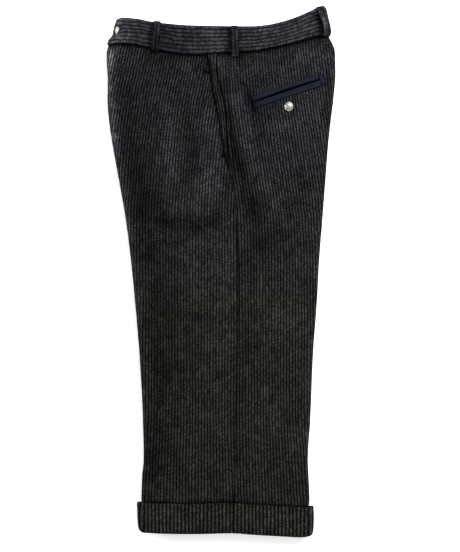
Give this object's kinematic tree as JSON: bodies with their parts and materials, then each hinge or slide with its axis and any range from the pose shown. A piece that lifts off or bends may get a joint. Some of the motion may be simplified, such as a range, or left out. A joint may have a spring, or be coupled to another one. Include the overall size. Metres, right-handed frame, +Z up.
{
  "type": "cropped trousers",
  "caption": "Cropped ribbed wool trousers with turned-up cuffs, folded in half lengthwise and lying flat on their side, with belt loops, a side pocket and a buttoned welt back pocket.",
  "frame": {"origin": "middle of the whole garment in plan, on the flat underside that rests on the surface", "axes": "+Y from the hem to the waist, +X from the centre front to the centre back, +Z up out of the surface"},
  "size_m": [0.3562, 0.824, 0.0404],
  "materials": {
    "cloth": "charcoal wool with fine raised ribs, flecked grey on the ridges, matt",
    "band": "the same ribbed wool with its ribs running along the band",
    "inner": "folded layers of the same wool, darker in the folds",
    "welt": "navy twill binding, slightly smooth",
    "thread": "dense dark stitches",
    "metal": "pearly silver, softly polished"
  },
  "bodies": {
    "root": {"hidden_layers": "inner", "front_panel": "cloth", "back_panel": "cloth", "pocket_facing": "cloth", "waistband": "band", "cuff_front": "cloth", "cuff_back": "cloth", "loop_front": "band", "loop_side": "band", "loop_back": "band", "welt_upper": "welt", "welt_lower": "welt", "bar_tack_top": "thread", "bar_tack_bottom": "thread", "button_pocket": "metal", "button_waist": "metal"}
  },
  "joints": []
}
